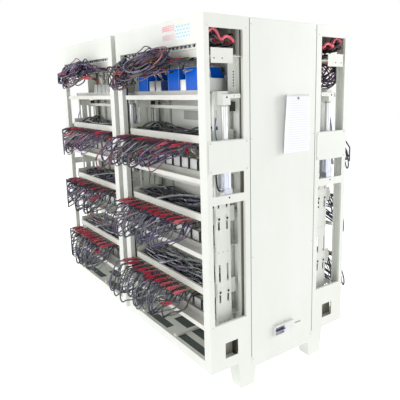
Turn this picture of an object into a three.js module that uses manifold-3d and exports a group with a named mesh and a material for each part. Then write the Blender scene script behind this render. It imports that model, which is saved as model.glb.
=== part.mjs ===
// Double-sided battery formation and grading rack: two cabinets side by side, each one a closed
// power core with an open four-level test rack on its front and another on its back.
// Millimetres, +Z up, origin on the floor under the middle, -Y is the front, +X the right end.

import * as THREE from "three";
import { mergeVertices } from "three/addons/utils/BufferGeometryUtils.js";
import Module from "manifold-3d";

const wasm = await Module();
wasm.setup();

// Driving dimensions of the whole machine.
const CABINET_WIDTH = 915;
const CABINET_GAP = 60;
const RACK_DEPTH = 255;
const CORE_DEPTH = 450;
const RACK_CLEARANCE = 150;
const CORE_CLEARANCE = 112;
const RACK_HEIGHT = 1710;
const FIT = 0.3;

// Sheet work of a rack.
const SHEET = 3;
const POST_WIDTH = 58;
const POST_RETURN = 27;
const HEADER_HEIGHT = 122;
const PAN_TOP = 50;
const PAN_OPENINGS = [[97, 397, 22, 72], [-275, -20, 22, 72], [-100, 397, 110, 215]];
const PAN_BARS = [[72, 97], [-310, -285]];
const PAN_BAR = { front: 14, back: 230, rise: 10 };
const REAR_POST = { inset: 4, width: 22, front: 214, back: 236 };
const FOOT_REST = { inner: 384, front: 100, back: 165, thick: 13 };
const HALF = CABINET_WIDTH / 2;
const INNER = HALF - SHEET;
const OPENING = HALF - POST_WIDTH;

// Levels, all heights above the bottom of the rack.
const SHELF_ZERO = 245;
const SHELF_PITCH = 372.5;
const TOP_SHELF = 1381;
const TRAY_ZERO = 415;
const TRAY_PITCH = 379;
const TOP_TRAY = 1567;
const LEVELS = 4;

// Shelves and trays. A shelf's heights are below its level, and its stop stands above it.
const SHELF_HALF = 383;
const SHELF_FRONT = 12;
const CELL_FRONT = 72;
const SHELF_BACK = 234;
const SHELF_DROPS = { apron: 42, channel: 26, back: 20, lip: 18, floor: 3 };
const STOP_HEIGHT = 3;
const LIP_WIDTH = 9;
const TRAY_FRONT = 30;
const TRAY_BACK = 238;
const TRAY_REACH = 380;
const RAIL_HEIGHT = 35;
const RAIL_LIP = 12;
const LEAD_SLOT_BACK = 58;
const TOP_BRACKET = { front: 38, back: 160, below: 66, above: 0 };
const SIDE_BRACKET = { front: 38, back: 214, below: 56, above: 24 };
const TOP_TRAY_BACK = 205;
const THIN = 2.5;
const TRAY_TABS = [-374, -184, 6, 196, 374];
const TAB_HALF = 6;
const GUIDE_PIN = { half: 3, low: 31, high: 25 };
const UPRIGHT = { inner: 280, outer: 320, back: 251 };

// Cells, and the liner that ties a row of them together.
const CELL = { width: 60, depth: 148, height: 60, pitch: 82, count: 9, shift: -25 };
const LARGE_CELL = { width: 115, depth: 150, height: 117 };
const LARGE_CELL_PLACES = [-280, 60, 235];
const SMALL_CELL_PLACES = [-182, -110, 147, 345];
const CLOSE_CELLS = { first: -30, pitch: 66, count: 6 };
const CELL_SETBACK = 8;
const LINER = { front: 40, back: 60, rise: 1 };

// Hanging leads: how far they stand out, hang down and reach across.
const LEAD_REACH = 112;
const LEAD_DROP = 200;
const TOP_LEAD_DROP = 130;
const TOP_LEAD_RISE = 70;
const LEAD_HALF = 390;
const LEAD_RIGHT = 330;
const LEAD_SPILL = { inner: -490, outer: -440 };
const LEAD_STRIP = { left: -396, right: -386, reach: 60 };
const LEAD_INSIDE = 27;

// The lift: columns that carry the shelves, two air cylinders and their rods.
const COLUMN_FRONT = 89;
const COLUMN_BACK = 169;
const COLUMN_FACE = 399;
const COLUMN_RETURN = 15;
const COLUMN_FOOT = 178;
const COLUMN_TOP = 1376;
const COLUMN_TIES = [[180, 196], [1288, 1306]];
const SLOT_WIDTH = 12;
const SLOT_DEPTHS = [103, 152];
const SLOT_SPANS = [[-85, -20], [25, 118]];
const CYLINDER = { across: 46, u: 428, d: 127, bottom: 895, top: 1150, cap: 28, corner: 8 };
const COVER_PLATE = { front: 10, back: 240, bottom: 1003, top: 1152 };
const ROD_RADIUS = 14;
const BLOCK = { front: 101, back: 145, bottom: 1315, top: 1377 };
const BEAM = { front: 178, back: 203, height: 22, lift: 30 };

// Windows in the end plates, as depths and heights.
const WINDOWS = [
  [27, 215, 1155, 1652],
  [60, 190, 1022, 1140],
  [30, 216, 894, 1000],
  [27, 221, 247, 853],
];
const CABLE_HOLE = [87, 167, 57, 140];
const RIM_DEPTH = 12;

// Feet and plinth, heights above the floor.
const FOOT = { width: 93, taper: 18, front: 168, toe: 184, heel: 285, heelFoot: 272 };
const PLINTH_BEAM = 40;
const PLINTH_BOTTOM = 92;
const MODULE_HEIGHT = 60;

const shelfHeight = (level) => (level === LEVELS - 1 ? TOP_SHELF : SHELF_ZERO + level * SHELF_PITCH);
const trayHeight = (level) => (level === LEVELS - 1 ? TOP_TRAY : TRAY_ZERO + level * TRAY_PITCH);

// ---------- solids ----------

function solidOf(geometry) {
  const plain = geometry.clone();
  plain.deleteAttribute("normal");
  plain.deleteAttribute("uv");
  const merged = mergeVertices(plain, 1e-4);
  const mesh = new wasm.Mesh({
    numProp: 3,
    vertProperties: new Float32Array(merged.attributes.position.array),
    triVerts: new Uint32Array(merged.index.array),
  });
  return new wasm.Manifold(mesh);
}

function geometryOf(solid) {
  const mesh = solid.asOriginal().simplify(0.02).getMesh();
  const geometry = new THREE.BufferGeometry();
  geometry.setAttribute("position", new THREE.BufferAttribute(mesh.vertProperties, 3));
  geometry.setIndex(new THREE.BufferAttribute(mesh.triVerts, 1));
  geometry.computeVertexNormals();
  return geometry;
}

// A box between two u (across), two d (depth from the open face) and two z (height) values.
function box(u0, u1, d0, d1, z0, z1) {
  const geometry = new THREE.BoxGeometry(u1 - u0, d1 - d0, z1 - z0);
  geometry.translate((u0 + u1) / 2, (d0 + d1) / 2, (z0 + z1) / 2);
  return solidOf(geometry);
}

// The same box on the right (side 1) or mirrored to the left (side -1).
function sideBox(side, u0, u1, ...rest) {
  return side > 0 ? box(u0, u1, ...rest) : box(-u1, -u0, ...rest);
}

// An outline in the depth-height plane, run across from u0 to u1.
function profile(points, u0, u1) {
  const shape = new THREE.Shape(points.map(([d, z]) => new THREE.Vector2(d, z)));
  const geometry = new THREE.ExtrudeGeometry(shape, { depth: u1 - u0, bevelEnabled: false });
  geometry.applyMatrix4(new THREE.Matrix4().set(0, 0, 1, u0, 1, 0, 0, 0, 0, 1, 0, 0, 0, 0, 0, 1));
  return solidOf(geometry);
}

function uprightRod(u, d, radius, z0, z1, sides) {
  const geometry = new THREE.CylinderGeometry(radius, radius, z1 - z0, sides);
  geometry.rotateX(Math.PI / 2);
  geometry.translate(u, d, (z0 + z1) / 2);
  return solidOf(geometry);
}

function join(solids) {
  return solids.reduce((whole, next) => whole.add(next));
}

function cut(solid, tools) {
  return tools.length ? solid.subtract(join(tools)) : solid;
}

const SIDES = [-1, 1];

// ---------- finishes ----------

const finishes = {
  frame: { color: 0xe9ebe4, roughness: 0.45, metalness: 0.1 },
  core: { color: 0xe6e9e4, roughness: 0.5, metalness: 0.1 },
  shelf: { color: 0xe4e5e0, roughness: 0.45, metalness: 0.1 },
  aluminium: { color: 0xb9bec4, roughness: 0.35, metalness: 0.9 },
  rod: { color: 0xd9dcdf, roughness: 0.12, metalness: 1.0 },
  cell: { color: 0xc9ccca, roughness: 0.38, metalness: 0.8 },
  lead: { color: 0x241f2e, roughness: 0.5, metalness: 0.0 },
  foot: { color: 0xe2e4de, roughness: 0.5, metalness: 0.1 },
  module: { color: 0x8d918e, roughness: 0.4, metalness: 0.8 },
  breaker: { color: 0xf2f2ef, roughness: 0.4, metalness: 0.0 },
  toggle: { color: 0x16264d, roughness: 0.4, metalness: 0.0 },
};

function named(name, solid, finish) {
  const mesh = new THREE.Mesh(geometryOf(solid), new THREE.MeshStandardMaterial(finishes[finish]));
  mesh.name = name;
  return mesh;
}

// ---------- rack frame ----------

function windowRim(side, [d0, d1, z0, z1]) {
  return sideBox(side, INNER - RIM_DEPTH, INNER + 1, d0 - 2, d1 + 2, z0 - 2, z1 + 2);
}

function windowTool(side, [d0, d1, z0, z1]) {
  return sideBox(side, INNER - RIM_DEPTH - 5, HALF + 5, d0, d1, z0, z1);
}

function rackFrame() {
  const headerBottom = RACK_HEIGHT - HEADER_HEIGHT;
  const pieces = [
    box(-HALF, HALF, 0, SHEET, headerBottom, RACK_HEIGHT),
    box(-OPENING, OPENING, 0, POST_RETURN, headerBottom, headerBottom + SHEET),
    box(-HALF, HALF, 0, RACK_DEPTH, RACK_HEIGHT - SHEET, RACK_HEIGHT),
    box(-HALF, HALF, 0, SHEET, 0, PAN_TOP),
    box(-HALF, HALF, RACK_DEPTH - SHEET, RACK_DEPTH, 0, PAN_TOP),
  ];
  const pan = box(-HALF, HALF, 0, RACK_DEPTH, PAN_TOP - SHEET, PAN_TOP);
  const vents = PAN_OPENINGS.map(([u0, u1, d0, d1]) => box(u0, u1, d0, d1, 0, PAN_TOP + 5));
  pieces.push(cut(pan, vents));
  for (const [u0, u1] of PAN_BARS) {
    pieces.push(box(u0, u1, PAN_BAR.front, PAN_BAR.back, PAN_TOP - SHEET, PAN_TOP + PAN_BAR.rise));
  }
  for (const side of SIDES) {
    const rims = [WINDOWS[0], WINDOWS[3]].map((w) => windowRim(side, w));
    const plate = sideBox(side, INNER, HALF, 0, RACK_DEPTH, 0, RACK_HEIGHT);
    const holes = [...WINDOWS, CABLE_HOLE].map((w) => windowTool(side, w));
    pieces.push(cut(join([plate, ...rims]), holes));
    pieces.push(sideBox(side, OPENING, HALF, 0, SHEET, 0, RACK_HEIGHT));
    pieces.push(sideBox(side, OPENING, OPENING + SHEET, 0, POST_RETURN, 0, RACK_HEIGHT));
    pieces.push(rearPost(side));
    pieces.push(footRest(side));
  }
  return join(pieces);
}

function rearPost(side) {
  const { inset, width, front, back } = REAR_POST;
  const inner = OPENING + inset;
  return sideBox(side, inner, inner + width, front, back, PAN_TOP - 1, RACK_HEIGHT - 1);
}

// The ledge on which a lift column stands when it is down.
function footRest(side) {
  const { inner, front, back, thick } = FOOT_REST;
  return sideBox(side, inner, INNER + 1, front, back, COLUMN_FOOT - thick, COLUMN_FOOT - FIT);
}

// ---------- shelves and cells ----------

function cellShelf(level) {
  const z = shelfHeight(level);
  const { apron, channel, back, lip, floor } = SHELF_DROPS;
  const section = [
    [SHELF_FRONT, z - apron], [SHELF_FRONT + THIN, z - apron], [SHELF_FRONT + THIN, z - channel],
    [CELL_FRONT, z - channel], [CELL_FRONT, z - floor - THIN], [SHELF_BACK - THIN, z - floor - THIN],
    [SHELF_BACK - THIN, z - back], [SHELF_BACK, z - back], [SHELF_BACK, z - floor],
    [CELL_FRONT, z - floor], [CELL_FRONT, z + STOP_HEIGHT], [CELL_FRONT - THIN, z + STOP_HEIGHT],
    [CELL_FRONT - THIN, z - channel + THIN], [SHELF_FRONT + LIP_WIDTH, z - channel + THIN],
    [SHELF_FRONT + LIP_WIDTH, z - lip], [SHELF_FRONT, z - lip],
  ];
  const tray = profile(section, -SHELF_HALF, SHELF_HALF);
  const ends = SIDES.map((side) => {
    const [front, behind] = [COLUMN_FRONT + 2, COLUMN_BACK - 2];
    return sideBox(side, SHELF_HALF - THIN, SHELF_HALF, front, behind, z - apron, z - floor - 1);
  });
  return join([tray, ...ends]);
}

function smallCell(u, front, base) {
  const half = CELL.width / 2;
  return box(u - half, u + half, front, front + CELL.depth, base, base + CELL.height);
}

function largeCell(u, front, base) {
  const { width, depth, height } = LARGE_CELL;
  return box(u - width / 2, u + width / 2, front - 4, front - 4 + depth, base, base + height);
}

function rowPlaces({ first, pitch, count }) {
  return Array.from({ length: count }, (_, i) => first + i * pitch);
}

// Which cells stand on a level: a full row on the lower shelves, and on the top shelf the mixed row
// of the right cabinet or the short close row of the left one.
function cellsOn(level, hand) {
  if (level < LEVELS - 1) {
    const first = CELL.shift - ((CELL.count - 1) / 2) * CELL.pitch;
    return { small: rowPlaces({ first, pitch: CELL.pitch, count: CELL.count }), large: [] };
  }
  if (hand === "left") {
    return { small: rowPlaces(CLOSE_CELLS), large: [] };
  }
  return { small: SMALL_CELL_PLACES, large: LARGE_CELL_PLACES };
}

// Cells stand on a thin tray liner, which ties a row into one solid.
function cellRow(level, hand) {
  const base = shelfHeight(level) - SHELF_DROPS.floor + FIT;
  const front = CELL_FRONT + CELL_SETBACK;
  const { small, large } = cellsOn(level, hand);
  const places = [...small, ...large];
  const liner = box(Math.min(...places), Math.max(...places), front + LINER.front, front + LINER.back,
    base, shelfHeight(level) + LINER.rise);
  return join([
    liner,
    ...small.map((u) => smallCell(u, front, base)),
    ...large.map((u) => largeCell(u, front, base)),
  ]);
}

// ---------- lift ----------

function columnSlots(side) {
  const tools = [];
  for (let level = 0; level < LEVELS - 1; level++) {
    for (const d of SLOT_DEPTHS) {
      for (const [low, high] of SLOT_SPANS) {
        const z = trayHeight(level);
        tools.push(sideBox(side, COLUMN_FACE - 9, COLUMN_FACE + 6,
          d - SLOT_WIDTH / 2, d + SLOT_WIDTH / 2, z + low, z + high));
      }
    }
  }
  return tools;
}

function liftFrame() {
  const inner = COLUMN_FACE - COLUMN_RETURN;
  const pieces = COLUMN_TIES.map(([low, high]) =>
    box(-COLUMN_FACE, COLUMN_FACE, COLUMN_BACK - SHEET, COLUMN_BACK + 20, low, high));
  for (const side of SIDES) {
    const upright = (u0, u1, d0, d1) => sideBox(side, u0, u1, d0, d1, COLUMN_FOOT, COLUMN_TOP);
    pieces.push(cut(upright(COLUMN_FACE - SHEET, COLUMN_FACE, COLUMN_FRONT, COLUMN_BACK), columnSlots(side)));
    pieces.push(upright(inner, COLUMN_FACE, COLUMN_FRONT - SHEET, COLUMN_FRONT));
    pieces.push(upright(inner, COLUMN_FACE, COLUMN_BACK, COLUMN_BACK + SHEET));
  }
  return join(pieces);
}

function squareSection(u, d, across, corner, z0, z1) {
  const h = across / 2;
  const c = h - corner;
  const outline = [[-c, -h], [c, -h], [h, -c], [h, c], [c, h], [-c, h], [-h, c], [-h, -c]];
  const shape = new THREE.Shape(outline.map(([x, y]) => new THREE.Vector2(u + x, d + y)));
  const geometry = new THREE.ExtrudeGeometry(shape, { depth: z1 - z0, bevelEnabled: false });
  geometry.translate(0, 0, z0);
  return solidOf(geometry);
}

// Both air cylinders of a rack, their cover plates outside the end plates, and the air beam between.
function liftCylinders() {
  const { across, u, d, bottom, top, cap, corner } = CYLINDER;
  const cover = COVER_PLATE;
  const outside = HALF + FIT;
  const reach = across / 2;
  const pieces = [box(-u, u, BEAM.front, BEAM.back, bottom - BEAM.height, bottom)];
  for (const side of SIDES) {
    pieces.push(squareSection(side * u, d, across - 4, corner, bottom, top - 1));
    pieces.push(squareSection(side * u, d, across, SHEET, bottom, bottom + cap));
    pieces.push(squareSection(side * u, d, across, SHEET, top - cap, top));
    pieces.push(sideBox(side, u - reach, u + reach, d - reach, BEAM.back, bottom - 8, bottom + 1));
    pieces.push(sideBox(side, u, outside + 1, d - 20, d + 20, top - 110, top - 30));
    pieces.push(sideBox(side, outside, outside + SHEET, cover.front, cover.back, cover.bottom, cover.top));
  }
  return join(pieces);
}

// Both rods with their lifting blocks and the beam under the top shelf.
function liftRods() {
  const { u, d, top } = CYLINDER;
  const beamBottom = BLOCK.bottom + BEAM.lift;
  const beamTop = beamBottom + BEAM.height - 2;
  const pieces = [box(-u, u, BEAM.front, BEAM.back, beamBottom, beamTop)];
  for (const side of SIDES) {
    const inner = COLUMN_FACE + FIT;
    pieces.push(uprightRod(side * u, d, ROD_RADIUS, top + FIT, BLOCK.bottom + 2, 16));
    pieces.push(sideBox(side, inner, INNER - 2, BLOCK.front, BLOCK.back, BLOCK.bottom, BLOCK.top));
    pieces.push(sideBox(side, inner, INNER - 2, BLOCK.back - 1, BEAM.back, beamBottom, beamTop));
  }
  return join(pieces);
}

// ---------- trays ----------

// A rail with a lip stands clear of the tray's floor, so that the leads drop through the slot between
// them and leave below the rail, whose bottom edge is where the spare clips bite.
function cableTray(level) {
  const z = trayHeight(level);
  const top = level === LEVELS - 1;
  const half = top ? INNER - FIT : TRAY_REACH;
  const bracket = top ? TOP_BRACKET : SIDE_BRACKET;
  const floor = z - RAIL_HEIGHT;
  const lip = TRAY_FRONT + RAIL_LIP;
  const pieces = [
    box(-TRAY_REACH, TRAY_REACH, TRAY_FRONT, TRAY_FRONT + THIN, floor, z),
    box(-TRAY_REACH, TRAY_REACH, TRAY_FRONT, lip, z - THIN, z),
    box(-TRAY_REACH, TRAY_REACH, LEAD_SLOT_BACK, TRAY_BACK, floor, floor + THIN),
  ];
  for (const u of TRAY_TABS) {
    pieces.push(box(u - TAB_HALF, u + TAB_HALF, TRAY_FRONT, LEAD_SLOT_BACK + 1, floor, floor + THIN));
  }
  for (const side of SIDES) {
    pieces.push(sideBox(side, TRAY_REACH - THIN, TRAY_REACH, TRAY_FRONT, lip, floor, z));
    pieces.push(sideBox(side, half - THIN, half, bracket.front, bracket.back,
      z - bracket.below, z + bracket.above));
    if (top) {
      pieces.push(sideBox(side, TRAY_REACH - 1, half, bracket.front, TOP_TRAY_BACK, floor, floor + THIN));
      continue;
    }
    for (const d of SLOT_DEPTHS) {
      const { half: pin, low, high } = GUIDE_PIN;
      pieces.push(sideBox(side, half - 1, COLUMN_FACE + 4, d - pin, d + pin, z - low, z - high));
    }
  }
  return pieces;
}

// The four cable trays stand on two uprights in front of the core.
function cableLadder() {
  const pieces = [];
  for (const side of SIDES) {
    pieces.push(sideBox(side, UPRIGHT.inner, UPRIGHT.outer, TRAY_BACK - 1, UPRIGHT.back,
      PAN_TOP + FIT, RACK_HEIGHT - SHEET - FIT));
  }
  for (let level = 0; level < LEVELS; level++) {
    pieces.push(...cableTray(level));
  }
  return join(pieces);
}

// ---------- test leads ----------

// The leads of a level leave below the tray's rail, stand out before the rack and hang in loops.
function testLeads(spill) {
  const { left, right, reach } = LEAD_STRIP;
  const pieces = [box(left, right, -reach, -1, trayHeight(0) - 120, trayHeight(LEVELS - 1) - 60)];
  for (let level = 0; level < LEVELS; level++) {
    const top = level === LEVELS - 1;
    const z = trayHeight(level) - RAIL_HEIGHT - FIT;
    const rise = top ? TOP_LEAD_RISE : 0;
    const bottom = z - (top ? TOP_LEAD_DROP : LEAD_DROP);
    const section = [
      [0, z], [-LEAD_REACH / 2, z + rise], [-LEAD_REACH, z - 35], [-LEAD_REACH, bottom + 50],
      [-LEAD_REACH * 0.75, bottom], [-LEAD_REACH * 0.3, bottom], [0, bottom + 70],
    ];
    pieces.push(profile(section, spill, LEAD_RIGHT));
    pieces.push(box(-LEAD_HALF, LEAD_RIGHT, -1, LEAD_INSIDE, z - 25, z));
  }
  return join(pieces);
}

// ---------- core, modules and base ----------

const CORE_FRONT = RACK_DEPTH + FIT;
const CORE_HALF = CORE_DEPTH / 2 - FIT;
const TOP = RACK_CLEARANCE + RACK_HEIGHT;

// The shell is open at the outer end, where its panel closes it, and underneath.
function coreShell(outer) {
  const y = CORE_HALF;
  const shell = box(-HALF, HALF, -y, y, CORE_CLEARANCE, TOP);
  const inside = sideBox(outer, -HALF + 2, HALF + 5, -y + 2, y - 2, CORE_CLEARANCE - 5, TOP - 2);
  return cut(shell, [inside]);
}

function coreEndPanel(outer) {
  const y = CORE_HALF - 2 - FIT;
  const plate = sideBox(outer, HALF - 2, HALF, -y, y, CORE_CLEARANCE, TOP - 2 - FIT);
  const folds = SIDES.map((s) => {
    const low = s > 0 ? y - 2 : -y;
    return sideBox(outer, HALF - 20, HALF - 1, low, low + 2, CORE_CLEARANCE + 8, TOP - 20);
  });
  return join([plate, ...folds]);
}

const TOWER = { half: 400, deep: 190, plate: 14, margin: 20, count: 8 };

// A tower of power modules: drawers on a back plane, with air gaps between them.
function moduleTower() {
  const { half, deep, plate, margin, count } = TOWER;
  const bottom = CORE_CLEARANCE + margin;
  const pieces = [box(margin - half, half - margin, -plate, plate, bottom, TOP - 3 * margin)];
  const pitch = (TOP - CORE_CLEARANCE - 6 * margin) / count;
  for (let i = 0; i < count; i++) {
    const z = bottom + margin + i * pitch;
    pieces.push(box(-half, half, -deep, deep, z, z + MODULE_HEIGHT));
  }
  return join(pieces);
}

// Tapered foot below the joint of rack and core, with its outer face in line with the end panels.
function foot(side, way) {
  const rackLine = RACK_DEPTH - FIT - 0.5;
  const { width, taper, front, toe, heel, heelFoot } = FOOT;
  const half = RACK_DEPTH + CORE_DEPTH / 2;
  const outline = [
    [toe, 0], [heelFoot, 0], [heel, PLINTH_BOTTOM], [heel, CORE_CLEARANCE - FIT],
    [rackLine, CORE_CLEARANCE - FIT], [rackLine, RACK_CLEARANCE - FIT],
    [front, RACK_CLEARANCE - FIT],
  ];
  const points = outline.map(([d, z]) => [way * (half - d), z]);
  const block = profile(way > 0 ? points.reverse() : points, -width, 0);
  const wedge = new THREE.Shape();
  wedge.moveTo(-width - 5, -5);
  wedge.lineTo(-width + taper, -5);
  wedge.lineTo(-width, RACK_CLEARANCE);
  wedge.lineTo(-width - 5, RACK_CLEARANCE);
  const geometry = new THREE.ExtrudeGeometry(wedge, { depth: 2 * half, bevelEnabled: false });
  geometry.rotateX(Math.PI / 2);
  geometry.translate(0, half, 0);
  const tapered = block.subtract(solidOf(geometry));
  return side > 0 ? tapered.translate([HALF, 0, 0]) : tapered.mirror([1, 0, 0]).translate([-HALF, 0, 0]);
}

function baseFrame() {
  const y = CORE_HALF;
  const top = CORE_CLEARANCE - FIT;
  const pieces = [];
  for (const side of SIDES) {
    pieces.push(sideBox(side, HALF - PLINTH_BEAM, HALF, -y, y, PLINTH_BOTTOM, top));
    const beam = [side * y, side * (y - PLINTH_BEAM)];
    pieces.push(box(-HALF, HALF, Math.min(...beam), Math.max(...beam), PLINTH_BOTTOM, top));
    for (const way of SIDES) {
      pieces.push(foot(side, way));
    }
  }
  return join(pieces);
}

// ---------- breakers on the outer ends ----------

const BREAKER = { y0: -75, y1: 65, z0: 221, z1: 280, out: 18, recess: 10 };
const TOGGLE = { y0: -69, y1: -9, z: 250.5, hub: 5, reach: 20, thick: 5, tilt: 25 };

function breakerBody(outer) {
  const face = HALF + FIT;
  const { y0, y1, z0, z1, out, recess } = BREAKER;
  const body = sideBox(outer, face, face + out, y0, y1, z0, z1);
  const floor = face + out - recess - 4;
  return body.subtract(sideBox(outer, floor, face + 30, TOGGLE.y0 - 2, TOGGLE.y1 + 2, z0 + 8, z1 - 8));
}

// The toggle's hub lies across the breaker, and its lever stands out and up in the closed position.
function breakerToggle(outer) {
  const { y0, y1, z, hub, reach, thick, tilt } = TOGGLE;
  const axle = new THREE.CylinderGeometry(hub, hub, y1 - y0, 12);
  const lever = new THREE.BoxGeometry(reach, y1 - y0, thick);
  lever.translate(reach / 2, 0, 0);
  lever.rotateY(-THREE.MathUtils.degToRad(tilt));
  const whole = solidOf(axle).add(solidOf(lever));
  const placed = whole.translate([HALF + BREAKER.out - BREAKER.recess + hub - 3, (y0 + y1) / 2, z]);
  return outer > 0 ? placed : placed.mirror([1, 0, 0]);
}

// ---------- assembly ----------

const machine = new THREE.Group();
const cabinetCentres = { left: -(CABINET_WIDTH + CABINET_GAP) / 2, right: (CABINET_WIDTH + CABINET_GAP) / 2 };

for (const [hand, centre] of Object.entries(cabinetCentres)) {
  const outer = hand === "right" ? 1 : -1;
  for (const face of ["front", "back"]) {
    const rack = new THREE.Group();
    const way = face === "front" ? 1 : -1;
    rack.position.set(centre, -way * (RACK_DEPTH + CORE_DEPTH / 2), RACK_CLEARANCE);
    rack.rotation.z = way > 0 ? 0 : Math.PI;
    const label = `${face}_${hand}`;
    rack.add(named(`${label}_rack_frame`, rackFrame(), "frame"));
    for (let level = 0; level < LEVELS; level++) {
      rack.add(named(`${label}_cell_shelf_${level + 1}`, cellShelf(level), "shelf"));
      if (face === "front") {
        rack.add(named(`${label}_cells_${level + 1}`, cellRow(level, hand), "cell"));
      }
    }
    rack.add(named(`${label}_lift_frame`, liftFrame(), "frame"));
    rack.add(named(`${label}_lift_cylinders`, liftCylinders(), "aluminium"));
    rack.add(named(`${label}_lift_rods`, liftRods(), "rod"));
    rack.add(named(`${label}_cable_ladder`, cableLadder(), "shelf"));
    const spill = (hand === "right") === (way > 0) ? LEAD_SPILL.inner : LEAD_SPILL.outer;
    rack.add(named(`${label}_test_leads`, testLeads(spill), "lead"));
    machine.add(rack);
  }
  const core = new THREE.Group();
  core.position.set(centre, 0, 0);
  core.add(named(`${hand}_core_shell`, coreShell(outer), "core"));
  core.add(named(`${hand}_core_end_panel`, coreEndPanel(outer), "core"));
  core.add(named(`${hand}_power_modules`, moduleTower(), "module"));
  core.add(named(`${hand}_base_frame`, baseFrame(), "foot"));
  core.add(named(`${hand}_breaker_body`, breakerBody(outer), "breaker"));
  core.add(named(`${hand}_breaker_toggle`, breakerToggle(outer), "toggle"));
  machine.add(core);
}

export default machine;
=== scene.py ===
"""The looks of a double-sided battery formation rack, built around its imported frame.

Rack places are given in millimetres as (u, d, z): u across the rack, d in from its open face,
z above its bottom. Rack.matrix turns them into the row frame, in metres.
"""

import math
import random

import bpy
import numpy as np
from mathutils import Matrix, Vector


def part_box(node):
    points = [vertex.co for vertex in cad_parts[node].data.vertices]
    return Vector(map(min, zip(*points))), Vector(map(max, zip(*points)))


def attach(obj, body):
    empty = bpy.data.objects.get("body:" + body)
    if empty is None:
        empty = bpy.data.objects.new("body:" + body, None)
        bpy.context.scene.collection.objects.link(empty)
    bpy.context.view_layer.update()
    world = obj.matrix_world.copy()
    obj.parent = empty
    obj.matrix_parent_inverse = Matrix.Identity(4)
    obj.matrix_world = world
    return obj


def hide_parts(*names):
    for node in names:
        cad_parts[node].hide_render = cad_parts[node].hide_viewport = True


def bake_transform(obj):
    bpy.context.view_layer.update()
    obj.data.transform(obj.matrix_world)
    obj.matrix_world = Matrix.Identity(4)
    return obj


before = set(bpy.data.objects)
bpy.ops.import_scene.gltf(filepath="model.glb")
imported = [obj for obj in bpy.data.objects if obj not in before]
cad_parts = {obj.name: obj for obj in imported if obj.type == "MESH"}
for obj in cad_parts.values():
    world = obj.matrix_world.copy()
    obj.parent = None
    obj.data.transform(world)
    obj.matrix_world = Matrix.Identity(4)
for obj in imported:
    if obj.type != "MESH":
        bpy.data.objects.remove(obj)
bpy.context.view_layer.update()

MM = 0.001
LEVELS = 4

# ---------- the racks and their levels ----------

SHELF_TOPS = [245.0, 617.5, 990.0, 1381.0]
RAIL_TOPS = [415.0, 794.0, 1173.0, 1567.0]
RAIL_HEIGHT = 35.0
RAIL_FRONT = 30.0
SLOT_DEPTH = 50.0
TRAY_TABS = [-374, -184, 6, 196, 374]
TRAY_FLOOR = 32.5
CORE_WALL = 255.3
HALF = 457.5
CELL_PITCH = 82.0
CELL_SHIFT = -25.0
CELLS_IN_ROW = 9
LIFT_TRAVEL = 25.0


class Rack:
    def __init__(self, label):
        self.label = label
        self.front = label.startswith("front")
        self.near = label == "front_right"
        # Whether the left end, at u = -HALF, is beside the other cabinet.
        self.inner_left = label in ("front_right", "back_left")
        low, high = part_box(f"{label}_rack_frame")
        turn = Matrix.Identity(4) if self.front else Matrix.Rotation(math.pi, 4, "Z")
        corner = Vector(((low.x + high.x) / 2, low.y if self.front else high.y, low.z))
        self.matrix = Matrix.Translation(corner) @ turn @ Matrix.Scale(MM, 4)
        self.lift = f"{label}_lift"

    def at(self, point):
        return self.matrix @ Vector(point)


RACKS = [Rack(name) for name in ("front_right", "front_left", "back_right", "back_left")]

# ---------- camera ----------

CAMERA_PLACE = (2.699, -1.665, 1.520)
CAMERA_YAW = 142.9
CAMERA_PITCH = -10.8
CAMERA_ROLL = -0.83
CAMERA_LENS = 42.53
CAMERA_SHIFT = (-0.0798, -0.043)


def link(thing):
    bpy.context.scene.collection.objects.link(thing)


def make_camera():
    yaw, pitch, roll = (math.radians(a) for a in (CAMERA_YAW, CAMERA_PITCH, CAMERA_ROLL))
    ahead = Vector((math.cos(yaw) * math.cos(pitch), math.sin(yaw) * math.cos(pitch), math.sin(pitch)))
    level = Vector((math.sin(yaw), -math.cos(yaw), 0))
    upright = level.cross(ahead)
    right = level * math.cos(roll) + upright * math.sin(roll)
    up = upright * math.cos(roll) - level * math.sin(roll)
    axes = Matrix((right, up, -ahead)).transposed().to_4x4()
    data = bpy.data.cameras.new("camera")
    data.lens = CAMERA_LENS
    data.sensor_width = 36
    data.shift_x, data.shift_y = CAMERA_SHIFT
    data.clip_start = 0.05
    data.clip_end = 60
    camera = bpy.data.objects.new("camera", data)
    camera.matrix_world = Matrix.Translation(CAMERA_PLACE) @ axes
    link(camera)
    bpy.context.scene.camera = camera


make_camera()

# ---------- materials ----------


def fill(node, values):
    """Sets a node's sockets by name, with _ for a space."""
    for key, value in values.items():
        node.inputs[key.replace("_", " ")].default_value = value


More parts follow.
